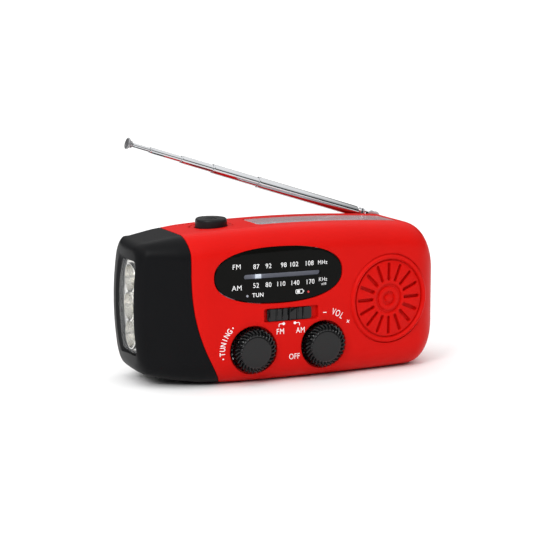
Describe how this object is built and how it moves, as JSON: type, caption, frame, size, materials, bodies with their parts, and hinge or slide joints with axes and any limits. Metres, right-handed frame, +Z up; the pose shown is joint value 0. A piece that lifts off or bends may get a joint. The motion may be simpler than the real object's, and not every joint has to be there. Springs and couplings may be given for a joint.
{
  "type": "emergency radio",
  "caption": "Hand-crank emergency radio with torch end, oval tuning window, two knobs, round speaker grille, solar panel and telescopic aerial.",
  "frame": {"origin": "on the flat base, under the middle of the case", "axes": "+X along the length, away from the torch end; -Y out of the face with the knobs; +Z up"},
  "size_m": [0.1272, 0.0511, 0.0929],
  "materials": {
    "red_plastic": "satin moulded, fine grain",
    "black_plastic": "satin moulded, fine grain",
    "black_gloss": "polished window",
    "chrome": "polished plated tube",
    "steel": "pressed and zinc plated",
    "white_plastic": "natural moulded",
    "grey_plastic": "plain",
    "clear_plastic": "clear moulded",
    "reflector": "vacuum plated",
    "silicon": "solar cell behind a cover",
    "circuit_board": "solder mask",
    "copper": "enamelled wire",
    "ferrite": "sintered",
    "paper_cone": "pressed paper",
    "rubber": "matt",
    "red_lamp": "tinted lamp body"
  },
  "bodies": {
    "case": {"front_shell": "red_plastic", "rear_cover": "red_plastic", "torch_cap": "black_plastic", "rear_screw_1": "steel", "rear_screw_2": "steel", "rear_screw_3": "steel", "torch_lens": "clear_plastic", "torch_reflector": "reflector", "torch_led_1": "clear_plastic", "torch_led_2": "clear_plastic", "torch_led_3": "clear_plastic", "torch_board": "circuit_board", "dial_window": "black_gloss", "dial_backing": "grey_plastic", "dial_cord": "white_plastic", "tuning_led": "red_lamp", "charge_led": "red_lamp", "tuning_capacitor": "white_plastic", "volume_control": "steel", "band_switch_body": "steel", "speaker_grille": "red_plastic", "speaker_frame": "steel", "speaker_cone": "paper_cone", "speaker_magnet": "steel", "torch_switch": "steel", "solar_cover": "clear_plastic", "solar_cell": "silicon", "main_board": "circuit_board", "battery_pack": "grey_plastic", "ferrite_rod": "ferrite", "ferrite_coil": "copper", "dynamo_housing": "steel", "gear_plate": "steel", "antenna_mount": "steel", "usb_socket": "steel", "micro_usb_socket": "steel"},
    "tuning": {"tuning_knob": "black_plastic", "dial_drum": "white_plastic"},
    "pointer": {"dial_pointer": "white_plastic"},
    "volume": {"volume_knob": "black_plastic"},
    "band": {"band_switch_cap": "black_plastic"},
    "button": {"torch_button": "black_plastic"},
    "crank": {"crank_shaft": "steel", "crank_arm": "black_plastic", "crank_cap": "black_plastic", "crank_gear": "white_plastic"},
    "idler": {"idler_gear": "white_plastic"},
    "rotor": {"dynamo_rotor": "steel"},
    "stem": {"knob_stem": "steel"},
    "grip": {"crank_knob": "black_plastic"},
    "flap": {"port_cover": "rubber"},
    "knuckle": {"antenna_knuckle": "chrome"},
    "section_1": {"antenna_tube_1": "chrome"},
    "section_2": {"antenna_tube_2": "chrome"},
    "section_3": {"antenna_tube_3": "chrome"},
    "section_4": {"antenna_tube_4": "chrome"},
    "section_5": {"antenna_rod": "chrome", "antenna_tip": "chrome"}
  },
  "joints": [
    {"name": "tuning_spin", "type": "hinge", "parent": "case", "child": "tuning", "pos_m": [-0.0199, -0.02, 0.0133], "axis": [0, 1, 0], "range_deg": [-62, 258]},
    {"name": "pointer_slide", "type": "slide", "parent": "case", "child": "pointer", "axis": [1, 0, 0], "range_m": [-0.0056, 0.0233]},
    {"name": "volume_spin", "type": "hinge", "parent": "case", "child": "volume", "pos_m": [0.0094, -0.02, 0.0133], "axis": [0, 1, 0], "range_deg": [-120, 150]},
    {"name": "band_slide", "type": "slide", "parent": "case", "child": "band", "axis": [1, 0, 0], "range_m": [-0.0012, 0.0026]},
    {"name": "button_press", "type": "slide", "parent": "case", "child": "button", "axis": [0, 0, -1], "range_m": [0, 0.0012], "stiffness_N_per_m": 500, "springref_m": -0.001},
    {"name": "crank_spin", "type": "hinge", "parent": "case", "child": "crank", "pos_m": [0.008, 0.02, 0.03], "axis": [0, 1, 0], "continuous": true},
    {"name": "idler_spin", "type": "hinge", "parent": "case", "child": "idler", "pos_m": [-0.0112, 0.012, 0.03], "axis": [0, 1, 0], "continuous": true},
    {"name": "rotor_spin", "type": "hinge", "parent": "case", "child": "rotor", "pos_m": [-0.0272, 0.005, 0.03], "axis": [0, 1, 0], "continuous": true},
    {"name": "knob_fold", "type": "hinge", "parent": "crank", "child": "stem", "pos_m": [-0.0279, 0.0202, 0.03], "axis": [0, 0, 1], "range_deg": [0, 90]},
    {"name": "knob_spin", "type": "hinge", "parent": "stem", "child": "grip", "pos_m": [-0.0175, 0.0222, 0.03], "axis": [1, 0, 0], "continuous": true},
    {"name": "flap_hinge", "type": "hinge", "parent": "case", "child": "flap", "pos_m": [0.0639, 0.0091, 0.0276], "axis": [0, 0, 1], "range_deg": [0, 150]},
    {"name": "antenna_swing", "type": "hinge", "parent": "case", "child": "knuckle", "pos_m": [0.048, 0.015, 0.05698], "axis": [0, 1, 0], "range_deg": [-17.8, 87.2]},
    {"name": "antenna_tilt", "type": "hinge", "parent": "knuckle", "child": "section_1", "pos_m": [0.0442, 0.015, 0.0582], "axis": [-0.3057, 0, -0.9521], "range_deg": [0, 90]},
    {"name": "section_2_slide", "type": "slide", "parent": "section_1", "child": "section_2", "axis": [-0.9521, 0, 0.3057], "range_m": [-0.019, 0.015]},
    {"name": "section_3_slide", "type": "slide", "parent": "section_2", "child": "section_3", "axis": [-0.9521, 0, 0.3057], "range_m": [-0.0127, 0.02]},
    {"name": "section_4_slide", "type": "slide", "parent": "section_3", "child": "section_4", "axis": [-0.9521, 0, 0.3057], "range_m": [-0.0125, 0.0195]},
    {"name": "section_5_slide", "type": "slide", "parent": "section_4", "child": "section_5", "axis": [-0.9521, 0, 0.3057], "range_m": [-0.0068, 0.026]}
  ],
  "couplings": [
    {"joint": "pointer_slide", "follows": "tuning_spin", "m_per_rad": 0.00517},
    {"joint": "idler_spin", "follows": "crank_spin", "ratio": -3},
    {"joint": "rotor_spin", "follows": "crank_spin", "ratio": 9}
  ]
}
